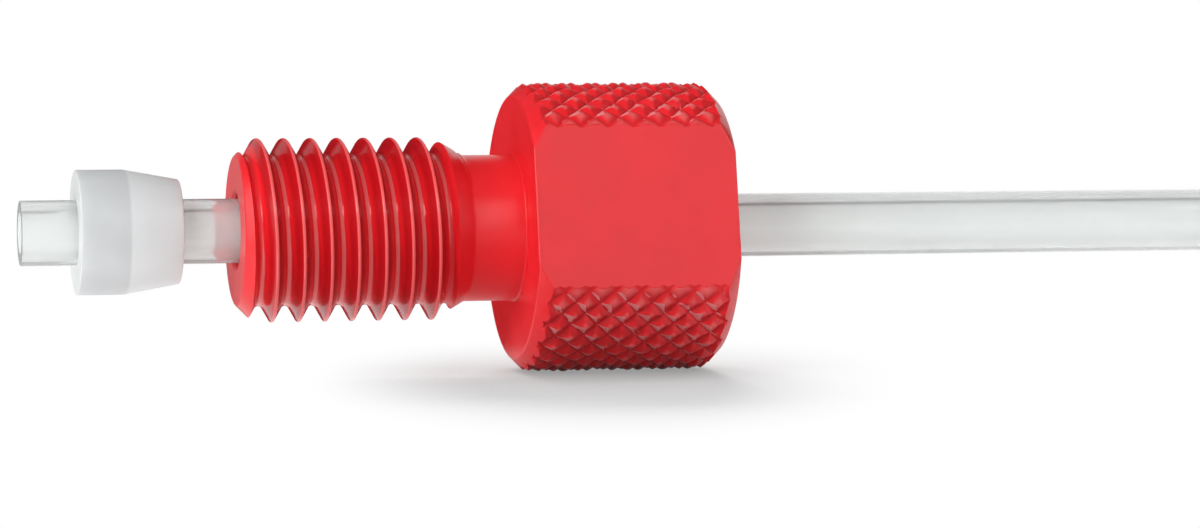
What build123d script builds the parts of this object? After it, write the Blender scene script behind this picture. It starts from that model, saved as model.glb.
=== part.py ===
from build123d import *

import os
from math import cos, radians, sin, tan

# Finger-tight fitting for a flat-bottom port: a one-piece nut turned by hand, the tube that
# runs through it, and the ferrule that the nut drives along the tube onto the port's floor.
# The tube's axis is +X, with the threaded end of the nut at the origin, and +Z is up.
# The nut lies on the round underside of its head. All lengths are in millimetres.

# Thread of the nut: 1/4-28 UNF, right-handed, with a crest flat of an eighth of the pitch.
# It starts with a chamfer of 45 degrees and runs out down a longer cone onto the neck.
THREAD_PITCH = 25.4 / 28
THREAD_MAJOR = 6.18
THREAD_DEPTH = 0.6134 * THREAD_PITCH
THREAD_CREST = THREAD_PITCH / 8
THREAD_HALF_ANGLE = 30
THREAD_LENGTH = 7.72
THREAD_LEAD_FACE = 5.0
THREAD_RUNOUT = 1.05
THREAD_TURNS = 11
FIRST_CREST = 0.74
GROOVE_OVERSHOOT = 0.05

# Neck between the thread and the head.
NECK_DIAMETER = 4.95
NECK_LENGTH = 1.75

# Head: round and knurled above and below, with two wrench flats.
HEAD_DIAMETER = 9.84
HEAD_LENGTH = 6.92
HEAD_FRONT_CHAMFER = 0.45
HEAD_BACK_CHAMFER = 0.5
ACROSS_FLATS = 8.1
FLAT_TILT = 12.5

# Diamond knurl: KNURL_COUNT pyramids to the full turn, with a second set half a pitch on.
# Its half-pitch columns are counted round from straight below the axis, which lies midway
# between two of them, and run from one wrench flat to the other.
KNURL_COUNT = 31
KNURL_PITCH = 0.88
KNURL_DEPTH = 0.2
KNURL_ROWS = 18
KNURL_FIRST_COLUMN = -14
KNURL_LAST_COLUMN = 9

# Hole for the tube right through the nut.
BORE_DIAMETER = 2.5
BORE_CHAMFER = 0.1

# Ferrule: its flat end seals on the port's floor, and its tapered end faces the nut.
FERRULE_DIAMETER = 4.16
FERRULE_SMALL_DIAMETER = 3.48
FERRULE_CYLINDER = 1.55
FERRULE_LENGTH = 3.42
FERRULE_BORE = 2.2
FERRULE_TO_NUT = 1.9
FERRULE_EDGE = 0.05

# Tube: stiff fluoropolymer, cut square at both ends.
TUBE_OUTER = 2.16
TUBE_INNER = 1.35
TUBE_LENGTH = 55
TUBE_PAST_NUT = 7.15

HEAD_START = THREAD_LENGTH + NECK_LENGTH
NUT_LENGTH = HEAD_START + HEAD_LENGTH


def flat_plane(side):
    """The plane of one wrench flat, with its normal towards the axis of the nut."""
    outward = Vector(0, -side * cos(radians(FLAT_TILT)), side * sin(radians(FLAT_TILT)))
    return Plane(origin=outward * ACROSS_FLATS / 2, z_dir=-outward)


def knurl_point(row, column):
    """A corner of the diamond skin: peaks and groove crossings take turns along and round."""
    peak = (row + column) % 2 == 0
    radius = HEAD_DIAMETER / 2 - (0 if peak else KNURL_DEPTH)
    angle = radians(270 + (column + 0.5) * 180 / KNURL_COUNT)
    start = HEAD_START + HEAD_LENGTH / 2 - KNURL_ROWS * KNURL_PITCH / 4
    return Vector(start + row * KNURL_PITCH / 2, radius * cos(angle), radius * sin(angle))


def diamond_facets(row, column):
    """The two triangles of one cell of the skin, parted by the groove that crosses it."""
    near, along = (row, column), (row + 1, column)
    across, far = (row, column + 1), (row + 1, column + 1)
    if (row + column) % 2 == 0:
        triangles = (near, along, across), (far, along, across)
    else:
        triangles = (along, near, far), (across, near, far)
    return [[knurl_point(*corner) for corner in triangle] for triangle in triangles]


def flat_strip(row, column, next_column):
    """A plain strip of the skin, just outside a wrench flat, between two columns."""
    corners = (row, column), (row + 1, column), (row + 1, next_column), (row, next_column)
    return [knurl_point(*corner) for corner in corners]


def knurl_core():
    """A closed body with the diamonds on its round sides, longer than the head."""
    under = list(range(KNURL_FIRST_COLUMN, KNURL_LAST_COLUMN + 1))
    over = [column + KNURL_COUNT for column in under]
    ring = under + over
    outlines = []
    for place, column in enumerate(ring):
        next_column = ring[(place + 1) % len(ring)]
        for row in range(KNURL_ROWS):
            if next_column == column + 1:
                outlines += diamond_facets(row, column)
            else:
                outlines.append(flat_strip(row, column, next_column))
    for row in (0, KNURL_ROWS):
        outlines.append([knurl_point(row, column) for column in ring])
    faces = [Face(Wire.make_polygon(outline, close=True)) for outline in outlines]
    return Solid(Shell(faces))


# One turn of the thread's groove, starting with a groove centre at the top.
with BuildPart() as groove_turn:
    root = THREAD_MAJOR / 2 - THREAD_DEPTH
    rise = THREAD_DEPTH + GROOVE_OVERSHOOT
    flank = tan(radians(THREAD_HALF_ANGLE))
    root_half = (THREAD_PITCH - THREAD_CREST) / 2 - THREAD_DEPTH * flank
    mouth_half = root_half + rise * flank
    with BuildLine() as groove_path:
        Helix(THREAD_PITCH, THREAD_PITCH, root, direction=(1, 0, 0))
    with BuildSketch(Plane.XZ) as groove_section:
        with BuildLine():
            Polyline(
                (-root_half, root),
                (-mouth_half, root + rise),
                (mouth_half, root + rise),
                (root_half, root),
                close=True,
            )
        make_face()
    sweep(sections=groove_section.sketch, path=groove_path.wires()[0], is_frenet=True)

# Threaded shank and neck, turned in one piece with the head.
with BuildPart() as shank:
    with BuildSketch() as shank_profile:
        with BuildLine():
            major = THREAD_MAJOR / 2
            neck = NECK_DIAMETER / 2
            lead = THREAD_LEAD_FACE / 2
            Polyline(
                (0, 0),
                (0, lead),
                (major - lead, major),
                (THREAD_LENGTH - THREAD_RUNOUT, major),
                (THREAD_LENGTH, neck),
                (HEAD_START, neck),
                (HEAD_START, 0),
                close=True,
            )
        make_face()
    revolve(axis=Axis.X)
    groove_start = FIRST_CREST - 2.5 * THREAD_PITCH
    turn_starts = [(groove_start + turn * THREAD_PITCH, 0, 0) for turn in range(THREAD_TURNS)]
    for start in turn_starts:
        with Locations(start):
            add(groove_turn.part, mode=Mode.SUBTRACT)

# Head with its flats and its knurl.
with BuildPart() as head:
    with BuildSketch() as head_profile:
        with BuildLine():
            rim = HEAD_DIAMETER / 2
            Polyline(
                (HEAD_START, 0),
                (HEAD_START, rim - HEAD_FRONT_CHAMFER),
                (HEAD_START + HEAD_FRONT_CHAMFER, rim),
                (NUT_LENGTH - HEAD_BACK_CHAMFER, rim),
                (NUT_LENGTH, rim - HEAD_BACK_CHAMFER),
                (NUT_LENGTH, 0),
                close=True,
            )
        make_face()
    revolve(axis=Axis.X)
    for side in (1, -1):
        split(bisect_by=flat_plane(side), keep=Keep.TOP)
    add(knurl_core(), mode=Mode.INTERSECT)

# Nut: shank and head as one, with the tube's hole bored through both.
with BuildPart() as nut:
    add(shank.part)
    add(head.part)
    with BuildSketch() as bore_profile:
        with BuildLine():
            bore = BORE_DIAMETER / 2
            Polyline(
                (0, 0),
                (0, bore + BORE_CHAMFER),
                (BORE_CHAMFER, bore),
                (NUT_LENGTH - BORE_CHAMFER, bore),
                (NUT_LENGTH, bore + BORE_CHAMFER),
                (NUT_LENGTH, 0),
                close=True,
            )
        make_face()
    revolve(axis=Axis.X, mode=Mode.SUBTRACT)
nut.part.label = "nut"

# Ferrule, on the tube ahead of the nut.
with BuildPart() as ferrule:
    with BuildSketch() as ferrule_profile:
        with BuildLine():
            face = -FERRULE_TO_NUT - FERRULE_LENGTH
            shoulder = face + FERRULE_CYLINDER
            Polyline(
                (face, FERRULE_BORE / 2),
                (face, FERRULE_DIAMETER / 2 - FERRULE_EDGE),
                (face + FERRULE_EDGE, FERRULE_DIAMETER / 2),
                (shoulder, FERRULE_DIAMETER / 2),
                (-FERRULE_TO_NUT, FERRULE_SMALL_DIAMETER / 2),
                (-FERRULE_TO_NUT, FERRULE_BORE / 2),
                close=True,
            )
        make_face()
    revolve(axis=Axis.X)
ferrule.part.label = "ferrule"

# Tube, through the ferrule and the nut.
with BuildPart() as tube:
    with BuildSketch(Plane.YZ.offset(-TUBE_PAST_NUT)):
        Circle(TUBE_OUTER / 2)
        Circle(TUBE_INNER / 2, mode=Mode.SUBTRACT)
    extrude(amount=TUBE_LENGTH)
tube.part.label = "tube"

os.makedirs("parts", exist_ok=True)
export_step(nut.part, "parts/nut.step")
export_step(ferrule.part, "parts/ferrule.step")
export_step(tube.part, "parts/tube.step")
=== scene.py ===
"""Looks of a finger-tight tube fitting: a knurled red nut, a natural ferrule and a clear tube.

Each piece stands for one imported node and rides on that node's body. The sizes in the classes
are in millimetres, and each mesh is brought to metres once it is finished.
"""

import logging
from collections.abc import Sequence
from dataclasses import dataclass, field
from enum import Enum
from math import cos, pi, radians, sin, tan
from typing import ClassVar

import bmesh
import bpy
import numpy as np
from mathutils import Matrix, Vector


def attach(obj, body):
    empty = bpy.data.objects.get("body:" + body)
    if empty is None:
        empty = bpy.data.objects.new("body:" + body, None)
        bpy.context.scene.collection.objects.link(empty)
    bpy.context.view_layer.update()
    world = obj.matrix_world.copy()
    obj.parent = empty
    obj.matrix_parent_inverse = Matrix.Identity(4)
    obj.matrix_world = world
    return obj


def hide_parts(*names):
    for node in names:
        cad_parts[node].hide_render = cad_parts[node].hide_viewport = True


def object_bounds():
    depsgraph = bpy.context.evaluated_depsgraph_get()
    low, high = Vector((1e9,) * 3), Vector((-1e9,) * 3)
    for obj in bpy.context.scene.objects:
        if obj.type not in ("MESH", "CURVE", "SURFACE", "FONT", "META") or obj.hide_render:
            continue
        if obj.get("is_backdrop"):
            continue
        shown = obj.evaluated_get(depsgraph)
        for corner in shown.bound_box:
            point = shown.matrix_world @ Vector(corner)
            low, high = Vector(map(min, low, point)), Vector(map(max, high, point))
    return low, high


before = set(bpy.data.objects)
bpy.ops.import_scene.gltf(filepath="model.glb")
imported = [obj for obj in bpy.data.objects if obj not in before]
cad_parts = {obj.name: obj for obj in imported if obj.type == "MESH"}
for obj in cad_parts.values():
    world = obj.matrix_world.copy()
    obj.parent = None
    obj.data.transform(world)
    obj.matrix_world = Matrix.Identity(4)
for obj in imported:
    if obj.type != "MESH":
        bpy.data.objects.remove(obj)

MM = 0.001
FLAT_TILT = 12.5  # how far the wrench flats lean from upright, in degrees
FLAT_NORMAL = Vector((0, -cos(radians(FLAT_TILT)), sin(radians(FLAT_TILT))))
log = logging.getLogger("tube_fitting")

Body = bpy.types.Object
Finish = bpy.types.Material
Socket = bpy.types.NodeSocket
Sockets = bpy.types.NodeOutputs
Colour = tuple[float, float, float]
Profile = Sequence[tuple[float, float]]
Span = tuple[float, float]


class Cut(Enum):
    """How one solid changes another."""

    JOIN = "UNION"
    TRIM = "INTERSECT"
    REMOVE = "DIFFERENCE"


class Slot(Enum):
    """The pieces' material slots."""

    RED = "red_polymer"
    NATURAL = "natural_polymer"
    CLEAR = "clear_tube"


# ---------------------------------------------------------------------------- mesh work


def put(name: str, data: bpy.types.ID) -> Body:
    """Makes an object of a mesh, a lamp or a camera and puts it in the scene.

    Args:
        name: The object's name.
        data: The mesh, the lamp or the camera.

    Returns:
        The new object.
    """
    body = bpy.data.objects.new(name, data)
    bpy.context.scene.collection.objects.link(body)
    return body


def solid(name: str, points: np.ndarray, faces: Sequence[Sequence[int]]) -> Body:
    """Makes an object of these corners and faces and puts it in the scene.

    Args:
        name: The object's name.
        points: Corners, in millimetres, one row each.
        faces: Corner numbers of each face.

    Returns:
        The new object.
    """
    mesh = bpy.data.meshes.new(name)
    mesh.from_pydata(points.tolist(), [], faces)
    mesh.validate()
    body = put(name, mesh)
    face_outward(body)
    return body


def face_outward(body: Body) -> None:
    """Turns all faces of a closed mesh outward.

    Args:
        body: The object to put right.
    """
    work = bmesh.new()
    work.from_mesh(body.data)
    bmesh.ops.recalc_face_normals(work, faces=work.faces)
    work.to_mesh(body.data)
    work.free()


def lathe(name: str, profile: Profile, segments: int) -> Body:
    """Turns a closed outline round the X axis into a ring, with columns square to the flats.

    Args:
        name: The object's name.
        profile: Corners (x, radius) of the closed outline, with every radius above zero.
        segments: Columns round the axis.

    Returns:
        The ring.
    """
    outline = np.array(profile)
    turn = np.radians(-FLAT_TILT) + np.arange(segments) * 2 * pi / segments
    rows = len(outline)
    x = np.repeat(outline[:, 0], segments)
    radius = np.repeat(outline[:, 1], segments)
    angle = np.tile(turn, rows)
    points = np.column_stack((x, radius * np.cos(angle), radius * np.sin(angle)))
    faces = []
    for row in range(rows):
        below, above = row * segments, (row + 1) % rows * segments
        for column in range(segments):
            after = (column + 1) % segments
            faces.append((below + column, below + after, above + after, above + column))
    return solid(name, points, faces)


def smooth(share: np.ndarray) -> np.ndarray:
    """Eases shares from 0 to 1 in and out."""
    return share * share * (3 - 2 * share)


def lesser(one: np.ndarray, two: np.ndarray | float, rounding: float) -> np.ndarray:
    """Takes the lesser of two heights, with a round turn where they cross."""
    return (one + two - np.sqrt((one - two) ** 2 + rounding**2)) / 2


def bake_modifiers(body: Body) -> None:
    """Puts the result of an object's modifiers into its mesh.

    Args:
        body: The object, which keeps no modifier.
    """
    graph = bpy.context.evaluated_depsgraph_get()
    mesh = bpy.data.meshes.new_from_object(body.evaluated_get(graph))
    old = body.data
    body.modifiers.clear()
    body.data = mesh
    bpy.data.meshes.remove(old)


def combine(body: Body, other: Body, how: Cut) -> None:
    """Joins, trims or cuts one solid with another, which is used up.

    Args:
        body: The solid that is changed.
        other: The solid that changes it.
        how: What is done.
    """
    step = body.modifiers.new(how.name, "BOOLEAN")
    step.object = other
    step.operation = how.value
    step.solver = "MANIFOLD"
    bake_modifiers(body)
    mesh = other.data
    bpy.data.objects.remove(other)
    bpy.data.meshes.remove(mesh)


def soften_edges(body: Body, width: float, steps: int = 3, turn: float = 12) -> None:
    """Rounds every edge that turns by more than a lathe facet does.

    Args:
        body: The object.
        width: Width of the rounding, in millimetres.
        steps: Faces across the rounding.
        turn: The least turn of an edge that is rounded, in degrees.
    """
    step = body.modifiers.new("soften", "BEVEL")
    step.limit_method = "ANGLE"
    step.angle_limit = radians(turn)
    step.width = width
    step.segments = steps
    step.use_clamp_overlap = False
    bake_modifiers(body)


def shade(body: Body, crease: float, planes: Sequence[Vector], match: float = 0.99995) -> None:
    """Shades a piece smoothly, with its plane faces flat and its sharp turns crisp.

    Args:
        body: The object.
        crease: Edges that turn by more than this many degrees stay sharp.
        planes: Normals of the plane faces, either way round.
        match: Cosine of the largest angle between a plane face's normal and its plane's.
    """
    mesh = body.data
    mesh.shade_smooth()
    mesh.set_sharp_from_angle(angle=radians(crease))
    for face in mesh.polygons:
        if any(abs(face.normal.dot(plane)) > match for plane in planes):
            face.use_smooth = False


def dress(
    body: Body,
    node: str,
    slot: Slot,
    material: Finish,
    crease: float,
    planes: Sequence[Vector],
) -> None:
    """Brings a piece to metres, gives it its finish and puts it in its node's place.

    Args:
        body: The finished mesh, in millimetres.
        node: The CAD node, and its body, that the piece stands for.
        slot: The piece's material slot, which is only logged.
        material: The piece's finish.
        crease: Edges that turn by more than this many degrees stay sharp.
        planes: Normals of the piece's plane faces.
    """
    shade(body, crease, planes)
    body.data.transform(Matrix.Scale(MM, 4))
    body.data.materials.clear()
    body.data.materials.append(material)
    body.data.polygons.foreach_set("material_index", [0] * len(body.data.polygons))
    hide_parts(node)
    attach(body, node)
    triangles = sum(len(face.vertices) - 2 for face in body.data.polygons)
    log.info("%s: %d triangles, slot %s", body.name, triangles, slot.value)


# ------------------------------------------------------------------------ shader groups


class Tree:
    """Short calls for laying shader nodes in one tree."""

    def __init__(self, tree: bpy.types.NodeTree) -> None:
        """Keeps the tree that the nodes go into."""
        self.tree = tree

    def add(self, kind: str, settings: dict | None = None, **values: object) -> bpy.types.Node:
        """Adds a node, sets its properties and its input values.

        Args:
            kind: Node type without its "ShaderNode" start.
            settings: Properties of the node.
            values: Values or sockets for its inputs, by name with _ for a space.

        Returns:
            The node.
        """
        node = self.tree.nodes.new("ShaderNode" + kind)
        for name, value in (settings or {}).items():
            setattr(node, name, value)
        for name, value in values.items():
            self.feed(node.inputs[name.replace("_", " ")], value)
        return node

    def feed(self, target: Socket, value: object) -> None:
        """Links a socket, or writes a plain value, to an input.

        Args:
            target: The input.
            value: An output socket or a plain value.
        """
        if isinstance(value, Socket):
            self.tree.links.new(value, target)
        else:
            target.default_value = value

    def work_out(self, kind: str, operation: str, terms: tuple) -> bpy.types.Node:
        """Adds a node that works something out.

        Args:
            kind: Node type without its "ShaderNode" start.
            operation: What it does with its terms.
            terms: Sockets or plain values, in the order of its inputs.

        Returns:
            The node.
        """
        node = self.add(kind, {"operation": operation})
        for target, term in zip(node.inputs, terms):
            self.feed(target, term)
        return node

    def math(self, operation: str, *terms: object) -> Socket:
        """Adds a Math node and returns its output."""
        return self.work_out("Math", operation, terms).outputs[0]

    def vector(self, operation: str, *terms: object) -> Socket:
        """Adds a VectorMath node and returns its vector, or its value if it gives one."""
        outputs = self.work_out("VectorMath", operation, terms).outputs
        return outputs["Value" if operation in ("DOT_PRODUCT", "LENGTH") else "Vector"]

    def times(self, first: object, second: object) -> Socket:
        """Multiplies two values."""
        return self.math("MULTIPLY", first, second)

    def split(self, place: Socket) -> Sockets:
        """Parts a point or a direction into its X, Y and Z."""
        return self.add("SeparateXYZ", Vector=place).outputs

    def glow(self, colour: object, strength: object) -> Socket:
        """Adds plain light of a colour."""
        return self.add("Emission", Color=colour, Strength=strength).outputs[0]

    def noise(self, place: Socket, scale: object, detail: float) -> Socket:
        """Lays noise over the piece and returns its value."""
        return self.add("TexNoise", Vector=place, Scale=scale, Detail=detail).outputs[0]

    def noise_along(self, place: Socket, scale: float, detail: float) -> Socket:
        """Lays noise along one axis and returns its value."""
        settings = {"noise_dimensions": "1D"}
        return self.add("TexNoise", settings, W=place, Scale=scale, Detail=detail).outputs[0]

    def spread(self, value: object, low: float, high: float) -> Socket:
        """Stretches low to high over 0 to 1, with soft ends.

        Args:
            value: The value to stretch.
            low: Where it gives 0.
            high: Where it gives 1.

        Returns:
            The share, from 0 to 1.
        """
        settings = {"interpolation_type": "SMOOTHSTEP"}
        node = self.add("MapRange", settings, Value=value, From_Min=low, From_Max=high)
        return node.outputs["Result"]

    def blend(self, factor: object, first: object, second: object) -> Socket:
        """Mixes two colours.

        Args:
            factor: Share of the second colour.
            first: The first colour.
            second: The second colour.

        Returns:
            The mixed colour.
        """
        node = self.add("Mix", {"data_type": "RGBA"})
        for place, value in ((0, factor), (6, first), (7, second)):
            self.feed(node.inputs[place], value)
        return node.outputs[2]

    def place(self) -> Socket:
        """Returns the point on the piece in the frame of the part."""
        return self.add("TexCoord").outputs["Object"]


class Effect:
    """A shader node group that is built once and used by more than one material."""

    inputs: dict[str, float] = {}
    outputs: tuple[str, ...] = ()

    def __init__(self, name: str) -> None:
        """Builds the group with its named inputs and outputs.

        Args:
            name: The group's name.
        """
        self.group = bpy.data.node_groups.new(name, "ShaderNodeTree")
        face = self.group.interface
        for title, value in self.inputs.items():
            made = face.new_socket(title, in_out="INPUT", socket_type="NodeSocketFloat")
            made.default_value = value
        for title in self.outputs:
            face.new_socket(title, in_out="OUTPUT", socket_type="NodeSocketFloat")
        tree = Tree(self.group)
        source = self.group.nodes.new("NodeGroupInput").outputs
        result = self.group.nodes.new("NodeGroupOutput").inputs
        for title, value in self.lay(tree, source).items():
            tree.feed(result[title], value)

    def lay(self, tree: Tree, given: Sockets) -> dict[str, Socket]:
        """Lays the group's nodes and returns what each output gives."""
        raise NotImplementedError

    def use(self, tree: Tree, **values: float) -> Sockets:
        """Places the group in a material.

        Args:
            tree: The material's nodes.
            values: The group's inputs, by name with _ for a space.

        Returns:
            The group's outputs.
        """
        node = tree.tree.nodes.new("ShaderNodeGroup")
        node.node_tree = self.group
        for name, value in values.items():
            tree.feed(node.inputs[name.replace("_", " ")], value)
        return node.outputs


class LatheMarks(Effect):
    """Fine uneven rings round the axis, as a lathe tool or an extrusion die leaves them."""

    inputs = {"Rings per mm": 12.0, "Drift": 0.5}
    outputs = ("Height", "Mask")
    wander_per_mm = 0.6
    wander_share = 0.2
    wide_per_mm = 2.3
    wide_share = 0.5
    wide_band = (0.35, 0.65)

    def lay(self, tree: Tree, given: Sockets) -> dict[str, Socket]:
        """Lays two scales of noise along the axis, bent a little round it.

        Args:
            tree: The group's nodes.
            given: The group's inputs.

        Returns:
            What each output gives, by name.
        """
        along = tree.times(tree.split(tree.place())["X"], 1 / MM)
        wander = tree.noise(tree.place(), self.wander_per_mm / MM, 2.0)
        shift = tree.times(wander, given["Drift"])
        drifted = tree.math("ADD", along, tree.times(shift, self.wander_share))
        fine = tree.noise_along(tree.times(drifted, given["Rings per mm"]), 1.0, 3.0)
        wide = tree.noise_along(drifted, self.wide_per_mm, 2.0)
        height = tree.math("ADD", fine, tree.times(wide, self.wide_share))
        return {"Height": height, "Mask": tree.spread(wide, *self.wide_band)}


class PlasticGrain(Effect):
    """Fine pitting and slow cloudiness, as in the skin of an engineering plastic."""

    inputs = {"Grains per mm": 14.0, "Clouds per mm": 0.5}
    outputs = ("Height", "Cloud")
    cloud_band = (0.3, 0.7)

    def lay(self, tree: Tree, given: Sockets) -> dict[str, Socket]:
        """Lays a fine and a slow noise over the piece.

        Args:
            tree: The group's nodes.
            given: The group's inputs.

        Returns:
            What each output gives, by name.
        """
        fine_scale = tree.times(given["Grains per mm"], 1 / MM)
        slow_scale = tree.times(given["Clouds per mm"], 1 / MM)
        fine = tree.noise(tree.place(), fine_scale, 3.0)
        slow = tree.noise(tree.place(), slow_scale, 3.0)
        return {"Height": fine, "Cloud": tree.spread(slow, *self.cloud_band)}


class HandlingMarks(Effect):
    """Sparse hairline rubs that break up the gloss where a part is handled."""

    inputs = {"Rubs per mm": 1.2, "Share": 0.3}
    outputs = ("Mask",)
    turn = (0.4, 0.7, 0.5)
    stretch = (1.0, 9.0, 1.6)
    width = 0.02

    def lay(self, tree: Tree, given: Sockets) -> dict[str, Socket]:
        """Lays stretched noise, cut to thin lines and kept in patches.

        Args:
            tree: The group's nodes.
            given: The group's inputs.

        Returns:
            What each output gives, by name.
        """
        scale = tree.times(given["Rubs per mm"], 1 / MM)
        turned = tree.add("Mapping", Vector=tree.place(), Rotation=self.turn, Scale=self.stretch)
        lines = tree.noise(turned.outputs[0], scale, 5.0)
        off_centre = tree.math("ABSOLUTE", tree.math("SUBTRACT", lines, 0.5))
        thin = tree.math("SUBTRACT", 1.0, tree.spread(off_centre, 0.0, self.width))
        patches = tree.noise(tree.place(), scale, 1.0)
        kept = tree.spread(patches, tree.math("SUBTRACT", 1.0, given["Share"]), 1.0)
        return {"Mask": tree.times(thin, kept)}


class RadiusBand(Effect):
    """How far out from the axis a place lies, between two radii in millimetres."""

    inputs = {"Low": 1.0, "High": 2.0}
    outputs = ("Mask",)

    def lay(self, tree: Tree, given: Sockets) -> dict[str, Socket]:
        """Measures the radius and stretches it between the two given ones.

        Args:
            tree: The group's nodes.
            given: The group's inputs.

        Returns:
            What each output gives, by name.
        """
        flattened = tree.vector("MULTIPLY", tree.place(), (0, 1 / MM, 1 / MM))
        radius = tree.vector("LENGTH", flattened)
        return {"Mask": tree.spread(radius, given["Low"], given["High"])}


@dataclass
class Effects:
    """The shader groups that the finishes share."""

    lathe_marks: LatheMarks = field(default_factory=lambda: LatheMarks("lathe_marks"))
    grain: PlasticGrain = field(default_factory=lambda: PlasticGrain("plastic_grain"))
    handling: HandlingMarks = field(default_factory=lambda: HandlingMarks("handling_marks"))
    radius: RadiusBand = field(default_factory=lambda: RadiusBand("radius_band"))


# ---------------------------------------------------------------------------- finishes


def rgba(colour: Colour) -> tuple[float, float, float, float]:
    """Adds full opacity to a colour."""
    return (*colour, 1.0)


@dataclass(frozen=True)
class Plastic:
    """A plastic with its colours, painted highlight and shade, gloss and surface marks.

    Depths of the marks are in micrometres, and those of light inside and all radii in
    millimetres. The shares say how much of a colour or a mark a mask brings in.
    """

    name: str
    base: Colour
    cloud: Colour
    # Colours painted on: a lighter one as painted highlight, a darker one as painted shade.
    painted_light: Colour
    painted_shade: Colour
    painted_light_share: float
    painted_shade_share: float
    rough: float
    rougher: float
    level: float
    ior: float
    rings: float
    ring_depth: float
    grains: float
    grain_depth: float
    translucence: float = 0.0
    clarity: float = 0.0
    glow_depth: float = 0.9
    rub_matt: float = 0.6
    cloud_matt: float = 0.5
    rub_depth: float = -0.5
    # Radii of the painted highlight and of the painted shade.
    painted_light_band: Span = (0.0, 1.0)
    painted_shade_band: Span = (1.0, 0.0)

    def make(self, effects: Effects) -> Finish:
        """Builds the material.

        Args:
            effects: The shader groups that it uses.

        Returns:
            The material.
        """
        material = bpy.data.materials.new(self.name)
        material.use_nodes = True
        tree = Tree(material.node_tree)
        shader = material.node_tree.nodes["Principled BSDF"]
        rings = effects.lathe_marks.use(tree, Rings_per_mm=self.rings)
        grain = effects.grain.use(tree, Grains_per_mm=self.grains)
        rubs = effects.handling.use(tree)["Mask"]
        tree.feed(shader.inputs["Base Color"], self.colour(tree, effects, grain["Cloud"]))
        cloudy = tree.times(grain["Cloud"], self.cloud_matt)
        matt = tree.math("MULTIPLY_ADD", rubs, self.rub_matt, cloudy)
        tree.feed(shader.inputs["Roughness"], self.roughness(tree, matt))
        tree.feed(shader.inputs["Normal"], self.relief(tree, rings, grain, rubs))
        shader.inputs["IOR"].default_value = self.ior
        shader.inputs["Specular IOR Level"].default_value = self.level
        shader.inputs["Transmission Weight"].default_value = self.clarity
        shader.inputs["Subsurface Weight"].default_value = self.translucence
        shader.inputs["Subsurface Radius"].default_value = (self.glow_depth,) * 3
        shader.inputs["Subsurface Scale"].default_value = MM
        return material

    def roughness(self, tree: Tree, matt: Socket) -> Socket:
        """Sets how rough the surface is from the mask of its clouds and rubs."""
        return tree.math("MULTIPLY_ADD", matt, self.rougher - self.rough, self.rough)

    def colour(self, tree: Tree, effects: Effects, cloud: Socket) -> Socket:
        """Mixes the base with its clouds, its painted highlights and its painted shade.

        Args:
            tree: The material's nodes.
            effects: The shader groups.
            cloud: Mask of the clouds.

        Returns:
            The colour.
        """
        # Painted highlight and painted shade, mixed over the base.
        painted_light, painted_shade = self.painted_light_and_shade(tree, effects)
        clouded = tree.blend(cloud, rgba(self.base), rgba(self.cloud))
        with_painted_shade = tree.blend(tree.times(painted_shade, self.painted_shade_share), clouded, rgba(self.painted_shade))
        return tree.blend(tree.times(painted_light, self.painted_light_share), with_painted_shade, rgba(self.painted_light))

    def painted_light_and_shade(self, tree: Tree, effects: Effects) -> tuple[Socket, Socket]:
        """Masks, by radius, where highlight and where shade are painted on a ring."""
        return self.band(tree, effects, self.painted_light_band), self.band(tree, effects, self.painted_shade_band)

    def band(self, tree: Tree, effects: Effects, radii: Span) -> Socket:
        """Masks what lies from one radius to another, or inward where the first is larger."""
        return effects.radius.use(tree, Low=radii[0], High=radii[1])["Mask"]

    def relief(self, tree: Tree, rings: Sockets, grain: Sockets, rubs: Socket) -> Socket:
        """Raises the rings, the grain and the rubs off the surface.

        Args:
            tree: The material's nodes.
            rings: Outputs of the lathe group.
            grain: Outputs of the grain group.
            rubs: Mask of the rubs.

        Returns:
            The normal.
        """
        turned = tree.times(rings["Height"], self.ring_depth)
        pitted = tree.times(grain["Height"], self.grain_depth)
        worn = tree.times(rubs, self.rub_depth * self.grain_depth)
        height = tree.math("ADD", tree.math("ADD", turned, pitted), worn)
        return tree.add("Bump", Height=height, Distance=MM * MM).outputs[0]


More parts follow.
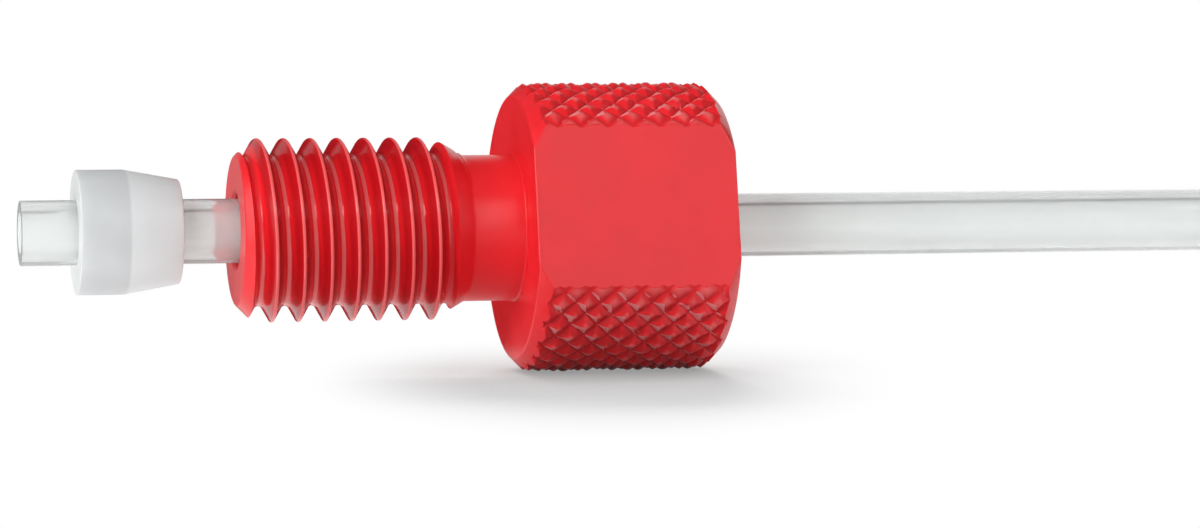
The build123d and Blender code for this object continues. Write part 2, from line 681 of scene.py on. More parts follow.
@dataclass(frozen=True)
class NutPlastic(Plastic):
    """The nut's plastic: highlight painted on crests, roots, diamonds; shade on flanks, grooves.
    """

    thread_zone: Span = (0.5, 6.9)
    knurl_zone: Span = (9.95, 15.85)
    zone_fade: float = 0.12
    flat_edge: float = 4.04
    # Radii of the painted highlight on crests and roots and of the painted shade on flanks.
    thread_crest_highlight: Span = (3.035, 3.085)
    thread_flank_shade: Span = (2.60, 2.82)
    thread_root_highlight: Span = (2.554, 2.540)
    root_highlight_share: float = 1.25
    groove_shade_share: float = 0.35
    # Radii of the painted highlight on the knurl's peaks and of the painted shade in its grooves.
    knurl_peak_highlight: Span = (4.85, 4.92)
    knurl_groove_shade: Span = (4.80, 4.71)
    thread_polish: float = 0.16
    flat_matt: float = 0.10
    # Painted highlight on the diamond faces that lean towards the thread end and away from the
    # flats.
    facet_highlight: Colour = (0.95, 0.34, 0.35)
    facet_highlight_share: float = 0.8
    facet_highlight_lean: Span = (0.10, 0.22)
    facet_highlight_forward: Span = (0.18, 0.32)

    def places(self, tree: Tree) -> tuple[Socket, Socket, Socket]:
        """Finds the threaded part, the head and the wrench flats.

        Args:
            tree: The material's nodes.

        Returns:
            Masks of the thread, of the knurled band and of the flats.
        """
        out = self.sideways(tree, tree.place())
        on_flat = tree.math("GREATER_THAN", out, self.flat_edge * MM)
        along = tree.times(tree.split(tree.place())["X"], 1 / MM)
        on_thread = self.within(tree, along, self.thread_zone)
        round_side = tree.math("SUBTRACT", 1.0, on_flat)
        on_knurl = tree.times(round_side, self.within(tree, along, self.knurl_zone))
        return on_thread, on_knurl, on_flat

    def painted_light_and_shade(self, tree: Tree, effects: Effects) -> tuple[Socket, Socket]:
        """Masks where highlight is painted (crests, roots, peaks) and shade (flanks, grooves).

        Args:
            tree: The material's nodes.
            effects: The shader groups.

        Returns:
            Masks of the painted highlights and of the painted shade.
        """
        on_thread, on_knurl, _ = self.places(tree)
        thread = self.thread_crest_highlight, self.thread_flank_shade, self.thread_root_highlight
        # Painted highlight on the thread's crests and roots, painted shade on its flanks.
        crest, flank_shade, root = (self.band(tree, effects, radii) for radii in thread)
        knurl = self.knurl_peak_highlight, self.knurl_groove_shade
        # Painted highlight on the knurl's peaks, painted shade in its grooves.
        peak_highlight, groove = (self.band(tree, effects, radii) for radii in knurl)
        flank_shade = tree.math("SUBTRACT", flank_shade, crest)
        crest = tree.math("MULTIPLY_ADD", root, self.root_highlight_share, crest)
        peak_highlight = tree.times(peak_highlight, on_knurl)
        groove = tree.times(groove, tree.times(on_knurl, self.groove_shade_share))
        painted_light = tree.math("MULTIPLY_ADD", crest, on_thread, peak_highlight)
        painted_shade = tree.math("MULTIPLY_ADD", flank_shade, on_thread, groove)
        return painted_light, painted_shade

    def colour(self, tree: Tree, effects: Effects, cloud: Socket) -> Socket:
        """Paints highlight on diamond faces turned towards the thread end and away from the
        flats.

        Args:
            tree: The material's nodes.
            effects: The shader groups.
            cloud: Mask of the clouds.

        Returns:
            The colour.
        """
        plain = super().colour(tree, effects, cloud)
        _, on_knurl, _ = self.places(tree)
        # Painted highlight, chosen by each facet's direction in the part's frame.
        facing = tree.add("TexCoord").outputs["Normal"]
        outward = tree.vector("NORMALIZE", tree.vector("MULTIPLY", tree.place(), (0, 1, 1)))
        lean = tree.math("SUBTRACT", self.sideways(tree, outward), self.sideways(tree, facing))
        forward = tree.times(tree.split(facing)["X"], -1.0)
        leaning = tree.spread(lean, *self.facet_highlight_lean)
        lit_facets = tree.times(leaning, tree.spread(forward, *self.facet_highlight_forward))
        lit_facets = tree.times(lit_facets, on_knurl)
        share = tree.times(lit_facets, self.facet_highlight_share)
        return tree.blend(share, plain, rgba(self.facet_highlight))

    def sideways(self, tree: Tree, reach: Socket) -> Socket:
        """Tells how far a point or a direction reaches towards either wrench flat."""
        return tree.math("ABSOLUTE", tree.vector("DOT_PRODUCT", reach, FLAT_NORMAL[:]))

    def roughness(self, tree: Tree, matt: Socket) -> Socket:
        """Makes the thread smoother and the milled flats rougher than the rest.

        Args:
            tree: The material's nodes.
            matt: Mask of clouds and rubs.

        Returns:
            The roughness.
        """
        on_thread, _, on_flat = self.places(tree)
        plain = super().roughness(tree, matt)
        polished = tree.math("MULTIPLY_ADD", on_thread, -self.thread_polish, plain)
        return tree.math("MULTIPLY_ADD", on_flat, self.flat_matt, polished)

    def within(self, tree: Tree, along: Socket, zone: Span) -> Socket:
        """Masks a stretch of the axis, with soft ends.

        Args:
            tree: The material's nodes.
            along: Place along the axis in millimetres.
            zone: The stretch's two ends.

        Returns:
            The mask.
        """
        start = tree.spread(along, zone[0], zone[0] + self.zone_fade)
        end = tree.spread(along, zone[1], zone[1] - self.zone_fade)
        return tree.times(start, end)


@dataclass(frozen=True)
class ClearPlastic(Plastic):
    """A clear plastic that takes up a little light on the way through."""

    stain: Colour = (0.50, 0.58, 0.55)
    stain_per_mm: float = 0.12

    def make(self, effects: Effects) -> Finish:
        """Builds the material, with its inside.

        Args:
            effects: The shader groups that it uses.

        Returns:
            The material.
        """
        material = super().make(effects)
        tree = Tree(material.node_tree)
        density = self.stain_per_mm / MM
        inside = tree.add("VolumeAbsorption", Color=rgba(self.stain), Density=density)
        output = material.node_tree.nodes["Material Output"]
        tree.feed(output.inputs["Volume"], inside.outputs[0])
        return material


RED = NutPlastic(
    name="red_acetal",
    base=(0.76, 0.012, 0.018),
    cloud=(0.82, 0.016, 0.024),
    # Lighter colour for painted highlights, darker colour for painted shade.
    painted_light=(0.92, 0.16, 0.16),
    painted_shade=(0.34, 0.003, 0.006),
    painted_light_share=0.65,
    painted_shade_share=0.68,
    rough=0.28,
    rougher=0.40,
    level=0.4,
    ior=1.48,
    rings=14.0,
    ring_depth=0.9,
    grains=16.0,
    grain_depth=0.5,
)

NATURAL = Plastic(
    name="natural_fluoropolymer",
    base=(0.57, 0.585, 0.595),
    cloud=(0.61, 0.625, 0.635),
    painted_light=(0.74, 0.755, 0.76),
    painted_shade=(0.50, 0.51, 0.52),
    painted_light_share=0.85,
    painted_shade_share=0.5,
    rough=0.30,
    rougher=0.42,
    level=0.4,
    ior=1.4,
    rings=9.0,
    ring_depth=1.0,
    grains=10.0,
    grain_depth=0.6,
    translucence=0.35,
    # Painted highlight on all but the outer cylinder, to brighten the cone; painted shade in the
    # bore.
    painted_light_band=(2.075, 2.05),
    painted_shade_band=(1.3, 1.1),
)

CLEAR = ClearPlastic(
    name="clear_fluoropolymer",
    base=(0.865, 0.88, 0.875),
    cloud=(0.885, 0.90, 0.895),
    painted_light=(0.92, 0.925, 0.92),
    painted_shade=(0.85, 0.87, 0.86),
    painted_light_share=0.3,
    painted_shade_share=0.4,
    rough=0.06,
    rougher=0.09,
    level=0.5,
    ior=1.34,
    rings=0.6,
    ring_depth=0.02,
    grains=2.0,
    grain_depth=0.01,
    clarity=0.72,
    # Painted highlight on the outer wall, painted shade in the bore.
    painted_light_band=(1.0, 1.08),
    painted_shade_band=(0.72, 0.675),
)


# ------------------------------------------------------------------------------ pieces


@dataclass
class Piece:
    """A piece of the fitting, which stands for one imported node."""

    node: ClassVar[str]
    slot: ClassVar[Slot]
    crease: ClassVar[float] = 40
    planes: ClassVar[tuple[Vector, ...]] = (Vector((1, 0, 0)),)

    def shape(self) -> Body:
        """Makes the piece's mesh, in millimetres."""
        raise NotImplementedError

    def build(self, material: Finish) -> Body:
        """Makes the piece and puts it in place.

        Args:
            material: Its finish.

        Returns:
            The piece.
        """
        body = self.shape()
        dress(body, self.node, self.slot, material, self.crease, self.planes)
        return body


@dataclass
class Nut(Piece):
    """The hand nut: threaded shank, neck and knurled head with two wrench flats."""

    node = "nut"
    slot = Slot.RED
    crease = 32
    planes = Vector((1, 0, 0)), FLAT_NORMAL

    thread_pitch: float = 25.4 / 28
    thread_radius: float = 3.09
    thread_depth: float = 0.6134 * 25.4 / 28
    thread_half_angle: float = 30
    crests_to_pitch: float = 13  # so many crest widths make up one pitch
    thread_end: float = 7.72
    lead_radius: float = 2.5
    runout: float = 1.05
    first_crest: float = 0.74
    neck_radius: float = 2.475
    head_start: float = 9.47
    head_radius: float = 4.92
    front_chamfer: float = 0.45
    back_chamfer: float = 0.5
    length: float = 16.39
    across_flats: float = 8.1
    knurl_count: int = 31
    knurl_pitch: float = 0.88
    knurl_depth: float = 0.25
    knurl_rows: int = 18
    first_column: int = -14
    last_column: int = 9
    bore_radius: float = 1.25
    bore_chamfer: float = 0.1
    edge: float = 0.05
    proud: float = 0.02

    # Finer shape of the diamonds. Heights and roundings are shares of the knurl's depth.
    crowding: float = 1.35
    wander: float = 0.12
    groove_round: float = 0.05
    tip_round: float = 0.03
    steep_slope: float = 1.9
    gentle_slope: float = 0.84
    gentle_lift: float = 0.24
    bite_spread: float = 0.14
    calm_reach: float = 0.75
    calm_depth: float = 0.35
    seed: int = 7

    def shape(self) -> Body:
        """Trims the thread and the knurl to the turned and milled blank.

        Returns:
            The nut.
        """
        nut = self.skin()
        combine(nut, self.blank(), Cut.TRIM)
        nut.name = "knurled_nut"
        return nut

    def skin(self) -> Body:
        """Makes the threaded rod and the diamond-knurled drum as one solid.

        Returns:
            The solid, longer and wider than the nut where it is to be trimmed.
        """
        rod = self.threaded_rod(columns=144)
        combine(rod, self.knurled_drum(steps=6), Cut.JOIN)
        return rod

    def thread_outline(self) -> list[tuple[float, float]]:
        """Draws one pitch of the thread, with round crest and root.

        Returns:
            Points (distance along the axis, radius) from crest to just before the next crest.
        """
        half_pitch = self.thread_pitch / 2
        crest_half = self.thread_pitch / (2 * self.crests_to_pitch)
        slope = 1 / tan(radians(self.thread_half_angle))
        crest_round = crest_half * slope
        root_radius = self.thread_radius - self.thread_depth
        root_round = root_radius - (self.thread_radius - slope * (half_pitch - crest_half))
        bends = np.radians(np.linspace(0, 90 - self.thread_half_angle, 5))
        crest_middle = self.thread_radius - crest_round
        root_middle = root_radius + root_round
        crest = [
            (crest_round * sin(bend), crest_middle + crest_round * cos(bend)) for bend in bends
        ]
        root = [
            (half_pitch - root_round * sin(bend), root_middle - root_round * cos(bend))
            for bend in bends[::-1]
        ]
        middle = tuple((a + b) / 2 for a, b in zip(crest[-1], root[0]))
        down = [*crest, middle, *root]
        up = [(self.thread_pitch - x, radius) for x, radius in down[-2:0:-1]]
        return down + up

    def threaded_rod(self, columns: int, pitches: int = 13, ahead: int = 3) -> Body:
        """Makes a rod whose rows follow the helix, so that crest and root stay crisp.

        Args:
            columns: Columns in one turn.
            pitches: Length of the rod, in pitches of the thread.
            ahead: Pitches of it that lie ahead of the first crest.

        Returns:
            The rod, open nowhere and reaching past both ends of the thread.
        """
        outline = self.thread_outline()
        each = len(outline)
        rows = each * pitches
        along = np.array(
            [x + turn * self.thread_pitch for turn in range(pitches) for x, _ in outline]
        )
        radius = np.tile([r for _, r in outline], pitches)
        start = self.first_crest - ahead * self.thread_pitch
        turn = np.arange(columns) / columns
        x = start + along[:, None] + self.thread_pitch * turn[None, :]
        y = -radius[:, None] * np.sin(2 * pi * turn)[None, :]
        z = radius[:, None] * np.cos(2 * pi * turn)[None, :]
        points = np.stack((x, y, z), axis=-1).reshape(-1, 3)
        front_pole, back_pole = len(points), len(points) + 1
        far = start + pitches * self.thread_pitch
        points = np.vstack((points, [[start, 0, 0], [far, 0, 0]]))

        def corner(row: int, column: int) -> int:
            """Numbers a corner, with one turn round taken as one pitch along.

            Args:
                row: Its row.
                column: Its column, which may be one past the last.

            Returns:
                Its number.
            """
            if column < columns:
                return row * columns + column
            return (row + each) * columns + column - columns

        faces = []
        for column in range(columns):
            last = rows - 1 - (each if column == columns - 1 else 0)
            for row in range(last):
                cell = (row, column), (row, column + 1), (row + 1, column + 1), (row + 1, column)
                faces.append(tuple(corner(*place) for place in cell))
        front = [corner(0, column) for column in range(columns)]
        front += [corner(row, 0) for row in range(each, 0, -1)]
        end = rows - 1
        back = [corner(end, column) for column in range(columns)]
        back += [corner(row, columns - 1) for row in range(end - 1, end - each - 1, -1)]
        for loop, pole in ((front, front_pole), (back, back_pole)):
            for here, after in zip(loop, loop[1:] + loop[:1]):
                faces.append((here, after, pole))
        return solid("threaded_rod", points, faces)

    def knurl_grid(self, steps: int) -> tuple[np.ndarray, np.ndarray]:
        """Sets the rows and columns of the drum, denser next to ridges and grooves.

        Args:
            steps: Grid cells across each half-pitch of the knurl, an even number.

        Returns:
            Row places and column places, in half-pitches of the knurl.
        """
        half = np.linspace(0, 1, steps // 2 + 1) ** self.crowding / 2
        shares = np.concatenate((half, 1 - half[-2:0:-1]))
        rows = np.concatenate([row + shares for row in range(self.knurl_rows)])
        rows = np.append(rows, self.knurl_rows)
        under = range(self.first_column, self.last_column)
        arc = np.append(np.concatenate([c + shares for c in under]), self.last_column)
        return rows, np.concatenate((arc, arc + self.knurl_count))

    def unevenness(self, rows: np.ndarray, columns: np.ndarray, seed: int) -> np.ndarray:
        """Smooth random values over the knurl, one to each diamond or so.

        Args:
            rows: Row places.
            columns: Column places.
            seed: Start of the random numbers.

        Returns:
            Values from -1 to 1 for each row and column.
        """
        source = np.random.default_rng(seed)
        lattice = source.uniform(-1, 1, (self.knurl_rows + 2, 2 * self.knurl_count + 2))
        along_ring = (columns - self.first_column) % (2 * self.knurl_count)
        down, across = np.meshgrid(rows, along_ring, indexing="ij")
        row, column = down.astype(int), across.astype(int)
        s, t = smooth(down - row), smooth(across - column)
        upper = lattice[row, column] * (1 - t) + lattice[row, column + 1] * t
        lower = lattice[row + 1, column] * (1 - t) + lattice[row + 1, column + 1] * t
        return upper * (1 - s) + lower * s

    def knurl_relief(self, rows: np.ndarray, columns: np.ndarray) -> np.ndarray:
        """Height of the diamonds over their groove floors, as a share of the full depth.

        Args:
            rows: Row places.
            columns: Column places.

        Returns:
            Heights from about 0 to 1 for each row and column.
        """
        uneven = [self.unevenness(rows, columns, self.seed + more) for more in range(3)]
        down = rows[:, None] + self.wander * uneven[0]
        across = columns[None, :] + self.wander * uneven[1]

        def rise(along: np.ndarray) -> np.ndarray:
            """Rises from one family of grooves, steeply at first and gently to the crest.

            Args:
                along: Places across the grooves, which are 2 apart.

            Returns:
                Heights above the groove floors.
            """
            level = np.sqrt(np.abs(along % 2 - 1) ** 2 + self.groove_round**2)
            gentle = self.gentle_lift + self.gentle_slope * level
            return np.minimum(self.steep_slope * level, gentle)

        lower = lesser(rise(down + across), rise(down - across), self.groove_round)
        raised = lesser(lower * (1 + self.bite_spread * uneven[2]), 1, self.tip_round)
        return 1 - (1 - raised) * self.liveliness(columns)[None, :]

    def liveliness(self, columns: np.ndarray) -> np.ndarray:
        """How deep the grooves stay from column to column: they run out at the flats.

        Args:
            columns: Column places.

        Returns:
            1 in the middle of the round sides, and less next to the flats.
        """
        out = np.abs(np.cos(self.angles(columns) + radians(FLAT_TILT))) * self.head_radius
        spare = np.clip((self.across_flats / 2 - out) / self.calm_reach, 0, 1)
        return self.calm_depth + (1 - self.calm_depth) * smooth(spare)

    def angles(self, columns: np.ndarray) -> np.ndarray:
        """Angles of the columns round the axis, from +Y towards +Z and in radians."""
        return np.radians(270 + (columns + 0.5) * 180 / self.knurl_count)

    def knurled_drum(self, steps: int) -> Body:
        """Makes a drum with diamonds above and below, and plain strips over the flats.

        Args:
            steps: Grid cells across each half-pitch of the knurl.

        Returns:
            The drum, longer than the head.
        """
        rows, columns = self.knurl_grid(steps)
        relief = np.clip(self.knurl_relief(rows, columns), 0, 1)
        radius = self.head_radius - self.knurl_depth * (1 - relief)
        angle = self.angles(columns)
        start = self.head_start + (self.length - self.head_start) / 2
        start -= self.knurl_rows * self.knurl_pitch / 4
        x = np.broadcast_to(start + rows[:, None] * self.knurl_pitch / 2, radius.shape)
        y, z = radius * np.cos(angle), radius * np.sin(angle)
        points = np.stack((x, y, z), axis=-1).reshape(-1, 3)
        poles = len(points), len(points) + 1
        end = start + self.knurl_rows * self.knurl_pitch / 2
        points = np.vstack((points, [[start, 0, 0], [end, 0, 0]]))
        faces = self.diamond_faces(rows, columns)
        width = len(columns)
        last_row = (len(rows) - 1) * width
        for column in range(width):
            after = (column + 1) % width
            faces.append((poles[0], column, after))
            faces.append((poles[1], last_row + after, last_row + column))
        return solid("knurled_drum", points, faces)

    def diamond_faces(self, rows: np.ndarray, columns: np.ndarray) -> list[tuple[int, ...]]:
        """Parts each cell of the drum's skin in two, along the way that its groove runs.

        Args:
            rows: Row places.
            columns: Column places.

        Returns:
            Corner numbers of each triangle.
        """
        width = len(columns)
        rows_in = np.floor((rows[:-1] + rows[1:]) / 2).astype(int)
        columns_in = np.floor((columns + np.roll(columns, -1)) / 2).astype(int)
        faces = []
        for row, row_in in enumerate(rows_in):
            for column, column_in in enumerate(columns_in):
                after = (column + 1) % width
                near, along = row * width + column, (row + 1) * width + column
                across, far = row * width + after, (row + 1) * width + after
                if (row_in + column_in) % 2 == 0:
                    faces += [(near, along, across), (far, across, along)]
                else:
                    faces += [(along, far, near), (across, near, far)]
        return faces

    def blank(self) -> Body:
        """Makes the turned and milled blank that trims the thread and the knurl.

        Returns:
            The blank, with its bore, chamfers, flats and softened edges.
        """
        crest = self.thread_radius + self.proud
        lead = crest - self.lead_radius
        runout = self.runout * (crest - self.neck_radius)
        runout /= self.thread_radius - self.neck_radius
        mouth = self.bore_radius + self.bore_chamfer
        outline = [
            (0, mouth),
            (0, self.lead_radius),
            (lead, crest),
            (self.thread_end - runout, crest),
            (self.thread_end, self.neck_radius),
            (self.head_start, self.neck_radius),
            (self.head_start, self.head_radius - self.front_chamfer),
            (self.head_start + self.front_chamfer, self.head_radius),
            (self.length - self.back_chamfer, self.head_radius),
            (self.length, self.head_radius - self.back_chamfer),
            (self.length, mouth),
            (self.length - self.bore_chamfer, self.bore_radius),
            (self.bore_chamfer, self.bore_radius),
        ]
        blank = lathe("blank", outline, segments=120)
        for side in (1, -1):
            combine(blank, self.flat_cutter(side), Cut.REMOVE)
        soften_edges(blank, self.edge)
        self.pull_in(blank)
        return blank

    def pull_in(self, blank: Body) -> None:
        """Brings corners that the rounding pushed out back to the end face and the flats.

        Args:
            blank: The blank.
        """
        for corner in blank.data.vertices:
            corner.co.x = min(corner.co.x, self.length)
            reach = corner.co.dot(FLAT_NORMAL)
            excess = abs(reach) - self.across_flats / 2
            if corner.co.x > self.head_start and excess > 0:
                corner.co -= FLAT_NORMAL * (excess if reach > 0 else -excess)

    def flat_cutter(self, side: int, past: float = 0.5) -> Body:
        """Makes the block that mills one wrench flat.

        Args:
            side: 1 for the flat that faces -Y, and -1 for the other.
            past: How far the block reaches past each end of the head, in millimetres.

        Returns:
            The block.
        """
        work = bmesh.new()
        bmesh.ops.create_cube(work, size=1.0)
        mesh = bpy.data.meshes.new("flat_cutter")
        work.to_mesh(mesh)
        work.free()
        depth, width = 3.0, 14.0
        length = self.length - self.head_start + 2 * past
        along = self.head_start - past + length / 2
        place = Matrix.Rotation(-radians(FLAT_TILT), 4, "X")
        place @= Matrix.Translation((along, -side * (self.across_flats + depth) / 2, 0))
        place @= Matrix.Diagonal((length, depth, width, 1.0))
        mesh.transform(place)
        return put("flat_cutter", mesh)


@dataclass
class Ferrule(Piece):
    """The ferrule: a short ring, flat at its large end and tapered towards the nut."""

    node = "ferrule"
    slot = Slot.NATURAL

    radius: float = 2.08
    small_radius: float = 1.74
    bore_radius: float = 1.1
    front: float = -5.32
    shoulder: float = -3.77
    back: float = -1.9
    edge: float = 0.05

    def shape(self) -> Body:
        """Turns the ferrule.

        Returns:
            The ferrule.
        """
        outline = [
            (self.front, self.bore_radius),
            (self.front, self.radius),
            (self.shoulder, self.radius),
            (self.back, self.small_radius),
            (self.back, self.bore_radius),
        ]
        ring = lathe("ferrule_ring", outline, segments=180)
        soften_edges(ring, self.edge)
        return ring


@dataclass
class Tube(Piece):
    """The tube: stiff and clear, with a real bore, cut square at both ends."""

    node = "tube"
    slot = Slot.CLEAR

    outer_radius: float = 1.08
    inner_radius: float = 0.675
    start: float = -7.15
    end: float = 47.85
    edge: float = 0.03

    def shape(self) -> Body:
        """Turns the tube, which is too clear to cast a shadow.

        Returns:
            The tube.
        """
        outline = [
            (self.start, self.inner_radius),
            (self.start, self.outer_radius),
            (self.end, self.outer_radius),
            (self.end, self.inner_radius),
        ]
        pipe = lathe("clear_tube_stub", outline, segments=160)
        soften_edges(pipe, self.edge)
        pipe.visible_shadow = False
        return pipe


# ------------------------------------------------------------------------------- studio


WHITE = rgba((1, 1, 1))
Corners = Sequence[tuple[float, float, float]]


def towards(azimuth: float, elevation: float) -> Vector:
    """Points from the part at a place given in degrees round it and above the ground."""
    turn, lift = radians(azimuth), radians(elevation)
    return Vector((sin(turn) * cos(lift), -cos(turn) * cos(lift), sin(lift)))


def unlit(name: str) -> tuple[Finish, Tree]:
    """Makes a material with no nodes yet.

    Args:
        name: The material's name.

    Returns:
        The material, and the tree to lay its nodes in.
    """
    material = bpy.data.materials.new(name)
    material.use_nodes = True
    material.node_tree.nodes.clear()
    return material, Tree(material.node_tree)


def around(left: float, right: float, near: float, far: float) -> list[tuple[float, float]]:
    """Gives the four corners of a rectangle, in turn."""
    return [(left, near), (right, near), (right, far), (left, far)]


def sheet(name: str, corners: Corners, material: Finish) -> Body:
    """Makes a four-cornered face with a material and puts it in the scene.

    Args:
        name: The face's name.
        corners: Its corners, in metres.
        material: What it shows.

    Returns:
        The face.
    """
    mesh = bpy.data.meshes.new(name)
    mesh.from_pydata(corners, [], [(0, 1, 2, 3)])
    mesh.materials.append(material)
    return put(name, mesh)


def looked_at(tree: Tree, gloss_share: object = 1.0) -> Socket:
    """Tells what the camera, gloss and clear plastic look at from what only gives light.

    Args:
        tree: The nodes of the material or the world.
        gloss_share: How much of it gloss shows.

    Returns:
        1 for what is looked at, and 0 for plain light.
    """
    rays = tree.add("LightPath").outputs
    gloss = tree.times(rays["Is Glossy Ray"], gloss_share)
    direct = tree.math("MAXIMUM", rays["Is Camera Ray"], gloss)
    return tree.math("MAXIMUM", direct, rays["Is Transmission Ray"])


@dataclass(frozen=True)
class Softbox:
    """One lamp: where it stands, its side, its brightness, and what it shows in and lights.

    Angles are in degrees, from straight ahead of the part, and lengths in millimetres.
    """

    name: str
    azimuth: float
    elevation: float
    distance: float
    side: float
    brightness: float
    tall: float = 1.0
    in_gloss: bool = True
    gloss_only: bool = False
    floor_only: bool = False

    def place(self, aim: Vector, floor: Body, nut: Body) -> None:
        """Hangs the lamp so that it faces a point.

        Args:
            aim: The point, in metres.
            floor: The floor.
            nut: The piece that a lamp for the floor alone casts its shadow of.
        """
        lamp = bpy.data.lights.new(self.name, "AREA")
        lamp.shape = "RECTANGLE"
        lamp.size = self.side * MM
        lamp.size_y = self.tall * lamp.size
        lamp.energy = self.brightness * pi * lamp.size * lamp.size_y
        back = towards(self.azimuth, self.elevation)
        holder = put(self.name, lamp)
        holder.location = aim + back * self.distance * MM
        holder.rotation_mode = "QUATERNION"
        holder.rotation_quaternion = (-back).to_track_quat("-Z", "Y")
        holder.visible_glossy = self.in_gloss
        holder.visible_diffuse = not self.gloss_only
        holder.visible_transmission = not self.gloss_only
        holder.visible_camera = False
        if self.floor_only:
            lit, shading = (bpy.data.collections.new(name) for name in ("lit", "shading"))
            lit.objects.link(floor)
            shading.objects.link(nut)
            holder.light_linking.receiver_collection = lit
            holder.light_linking.blocker_collection = shading


@dataclass
class Studio:
    """White surroundings, a pale floor, soft lamps and two cards for the gloss."""

    aim: tuple[float, float, float] = (9.0, 0.0, 0.0)
    surround: float = 0.34
    backdrop_turn: float = -13.3
    backdrop_half: float = 20.0
    backdrop_fade: float = 50.0
    backdrop_side: Span = (0.0, 0.2)
    side_gloss: float = 0.10
    floor_gloss: float = 0.50
    floor_side: float = 900.0
    floor_colour: Colour = (0.34, 0.34, 0.34)
    floor_seen: Colour = (0.12, 0.12, 0.12)
    floor_lift: float = 0.62
    shadow_reach: float = 14.0
    shadow_centre: float = 12.9
    shadow_span: Span = (10.5, 25.0)
    shadow_fade: float = 0.45
    shadow_power: float = 1.4
    shadow_depth: float = 0.5
    # Two cards, in millimetres: the flag's left, right, place behind the part and top, with
    # the stretch where it turns from pale to red, and the bounce's left, right, front and back.
    flag: tuple[float, float, float, float] = (-16.0, 9.3, 8.0, 6.5)
    flag_turn: Span = (-1.0, 0.5)
    flag_pale: Colour = (0.40, 0.40, 0.40)
    flag_dark: Colour = (0.30, 0.015, 0.02)
    bounce: tuple[float, float, float, float] = (-12.0, -1.0, -9.0, -2.2)
    bounce_lift: float = 0.02
    bounce_brightness: float = 2.6
    lamps: tuple[Softbox, ...] = (
        Softbox("key", -46.0, 24.0, 190.0, 44.0, 21.5),
        Softbox("front", 9.0, 30.0, 240.0, 80.0, 2.8, in_gloss=False),
        Softbox("strip", 12.0, 24.0, 250.0, 12.0, 11.5, tall=16.0, gloss_only=True),
        Softbox("side", 55.0, 20.0, 250.0, 90.0, 5.0, tall=2.4, gloss_only=True),
        Softbox("card", -80.0, 8.0, 60.0, 50.0, 2.6, gloss_only=True),
        Softbox("fill", -6.0, 2.0, 260.0, 120.0, 1.6, in_gloss=False),
        Softbox("left", -76.0, 22.0, 200.0, 90.0, 5.2, in_gloss=False),
        Softbox("overhead", 0.0, 80.0, 240.0, 150.0, 0.3, in_gloss=False),
        Softbox("shadow", 178.0, 26.0, 240.0, 150.0, 50.0, in_gloss=False, floor_only=True),
    )

    def build(self, floor_height: float, nut: Body) -> None:
        """Sets up the surroundings, the floor and the lamps.

        Args:
            floor_height: Height of the floor, in metres.
            nut: The piece whose shadow the floor shows most.
        """
        self.light_surroundings()
        floor = self.lay_floor(floor_height)
        self.hang_flag(floor_height)
        self.lay_bounce(floor_height)
        for lamp in self.lamps:
            lamp.place(Vector(self.aim) * MM, floor, nut)
        log.info("studio: %d lamps", len(self.lamps))

    def light_surroundings(self) -> None:
        """Makes the world white to look at, and dimmer as a light."""
        world = bpy.data.worlds.new("white_surroundings")
        world.use_nodes = True
        world.node_tree.nodes.clear()
        tree = Tree(world.node_tree)
        rays = tree.add("LightPath").outputs
        seen = tree.math("MAXIMUM", rays["Is Camera Ray"], rays["Is Transmission Ray"])
        strength = tree.math("MULTIPLY_ADD", seen, 1 - self.surround, self.surround)
        in_gloss = tree.math("SUBTRACT", self.backdrop_gloss(tree), strength)
        strength = tree.math("MULTIPLY_ADD", rays["Is Glossy Ray"], in_gloss, strength)
        white = tree.add("Background", Color=WHITE, Strength=strength)
        tree.add("OutputWorld", Surface=white.outputs[0])
        bpy.context.scene.world = world

    def backdrop_gloss(self, tree: Tree) -> Socket:
        """Keeps the white backdrop behind the part and lets it fade to the sides in gloss.

        Args:
            tree: The world's nodes.

        Returns:
            The share of white that gloss shows in each direction.
        """
        turn = radians(self.backdrop_turn)
        direction = tree.add("TexCoord").outputs["Generated"]
        along = tree.vector("DOT_PRODUCT", direction, (-sin(turn), cos(turn), 0))
        edge, middle = cos(radians(self.backdrop_fade)), cos(radians(self.backdrop_half))
        across = tree.spread(tree.split(direction)["X"], *self.backdrop_side)
        white = tree.times(tree.spread(along, edge, middle), across)
        return tree.math("MULTIPLY_ADD", white, 1 - self.side_gloss, self.side_gloss)

    def hang_flag(self, floor_height: float) -> None:
        """Hangs a card behind the part that only gloss shows, so that edges keep their depth.

        It is pale behind the ferrule, and turns to a deep red behind the nut.

        Args:
            floor_height: Height of the floor, in metres.
        """
        left, right, behind, top = (value * MM for value in self.flag)
        corners = [(x, behind, z) for x, z in around(left, right, floor_height, top)]
        material, tree = unlit("dark_card")
        start, end = (value * MM for value in self.flag_turn)
        darker = tree.spread(tree.split(tree.place())["X"], start, end)
        colour = tree.blend(darker, rgba(self.flag_pale), rgba(self.flag_dark))
        tree.add("OutputMaterial", Surface=tree.glow(colour, 1.0))
        self.stage_card("flag", corners, material)

    def lay_bounce(self, floor_height: float) -> None:
        """Lays a bright card in front of the ferrule that only gloss shows.

        Args:
            floor_height: Height of the floor, in metres.
        """
        height = floor_height + self.bounce_lift * MM
        corners = [(x, y, height) for x, y in around(*(value * MM for value in self.bounce))]
        material, tree = unlit("bright_card")
        tree.add("OutputMaterial", Surface=tree.glow(WHITE, self.bounce_brightness))
        self.stage_card("bounce", corners, material)

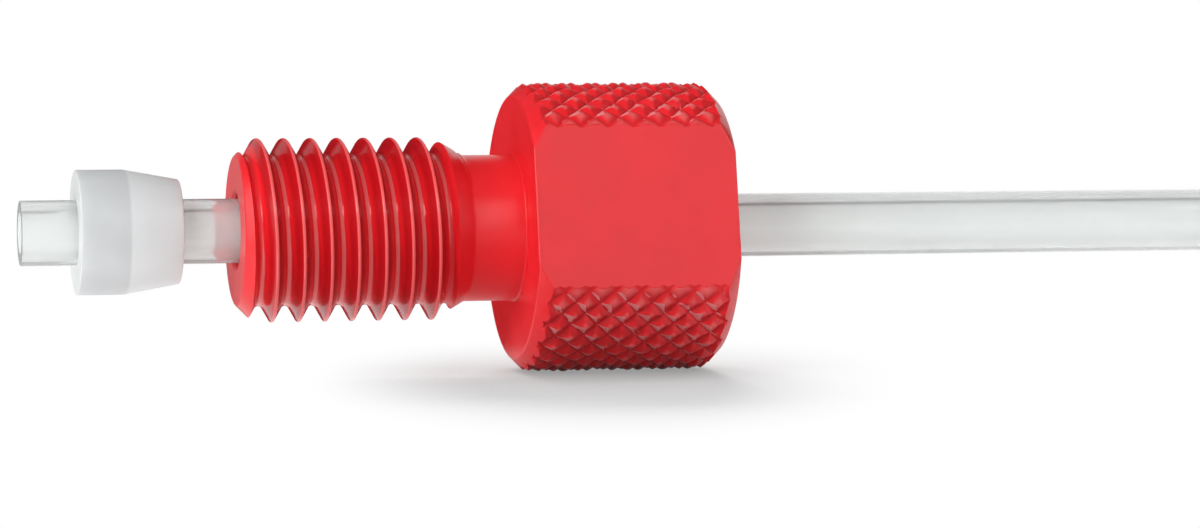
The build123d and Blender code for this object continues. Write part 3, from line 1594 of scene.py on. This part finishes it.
    def stage_card(self, name: str, corners: Corners, material: Finish) -> None:
        """Puts up a four-cornered card that gloss alone shows.

        Args:
            name: The card's name.
            corners: Its corners, in metres.
            material: What it shows.
        """
        card = sheet(name, corners, material)
        card.visible_camera = False
        card.visible_diffuse = False
        card.visible_transmission = False
        card.visible_volume_scatter = False
        card.visible_shadow = False
        card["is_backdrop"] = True

    def lay_floor(self, floor_height: float) -> Body:
        """Lays a pale floor that keeps the shadow near the part and turns white far off.

        Args:
            floor_height: Height of the floor, in metres.

        Returns:
            The floor.
        """
        half = self.floor_side / 2 * MM
        corners = [(x, y, 0) for x, y in around(-half, half, -half, half)]
        floor = sheet("floor", corners, self.floor_material())
        floor.location = (self.shadow_centre * MM, 0, floor_height)
        floor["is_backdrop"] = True
        return floor

    def floor_material(self) -> Finish:
        """Makes the floor's material.

        Returns:
            The material.
        """
        material, tree = unlit("pale_floor")
        seen = looked_at(tree, self.floor_gloss)
        shown = looked_at(tree)
        away = self.away(tree)
        colour = tree.blend(shown, rgba(self.floor_colour), rgba(self.floor_seen))
        dull = tree.add("BsdfDiffuse", Color=colour)
        reach = self.shadow_reach * MM
        covered = tree.add("AmbientOcclusion", {"samples": 8}, Distance=reach)
        open_sky = tree.math("POWER", covered.outputs["AO"], self.shadow_power)
        depth = self.shadow_depth
        open_sky = tree.math("MULTIPLY_ADD", open_sky, depth, 1 - depth)
        lift = tree.times(tree.times(seen, open_sky), self.floor_lift)
        close = tree.add("AddShader")
        tree.feed(close.inputs[0], dull.outputs[0])
        tree.feed(close.inputs[1], tree.glow(WHITE, lift))
        mixed = tree.add("MixShader", Fac=tree.times(away, shown))
        tree.feed(mixed.inputs[1], close.outputs[0])
        tree.feed(mixed.inputs[2], tree.glow(WHITE, 1.0))
        tree.add("OutputMaterial", Surface=mixed.outputs[0])
        return material

    def away(self, tree: Tree) -> Socket:
        """Tells how far a place on the floor lies outside the head's shadow.

        Args:
            tree: The floor's nodes.

        Returns:
            0 in the shadow, and 1 outside its oval.
        """
        across, along = (span * MM for span in self.shadow_span)
        turn = (0.0, 0.0, -radians(self.backdrop_turn))
        turned = tree.add("Mapping", Vector=tree.place(), Rotation=turn).outputs[0]
        sized = tree.vector("MULTIPLY", turned, (1 / across, 1 / along, 0))
        return tree.spread(tree.vector("LENGTH", sized), self.shadow_fade, 1.0)


@dataclass(frozen=True)
class Viewpoint:
    """The camera: slightly above the axis and on the side of the thread's end."""

    azimuth: float = -13.3
    elevation: float = 3.4
    distance: float = 136.66
    focal_length: float = 120.0
    along: float = 12.55
    below_axis: float = 1.281

    def build(self) -> Body:
        """Places the camera and makes it the scene's own.

        Returns:
            The camera.
        """
        lens = bpy.data.cameras.new("camera")
        lens.lens = self.focal_length
        lens.clip_start, lens.clip_end = MM, 10.0
        camera = put("camera", lens)
        back = towards(self.azimuth, self.elevation)
        up = towards(self.azimuth, self.elevation + 90)
        aim = Vector((self.along, 0, 0)) - up * self.below_axis
        camera.location = (aim + back * self.distance) * MM
        camera.rotation_mode = "QUATERNION"
        camera.rotation_quaternion = (-back).to_track_quat("-Z", "Y")
        bpy.context.scene.camera = camera
        return camera


def main() -> None:
    """Builds the pieces in order, then the studio and the camera."""
    logging.basicConfig(level=logging.INFO, format="%(name)s: %(message)s")
    cad_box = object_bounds()
    effects = Effects()
    Tube().build(CLEAR.make(effects))
    Ferrule().build(NATURAL.make(effects))
    nut = Nut().build(RED.make(effects))
    Studio().build(cad_box[0].z, nut)
    Viewpoint().build()
    bpy.context.scene.view_settings.view_transform = "Standard"


if __name__ == "__main__":
    main()
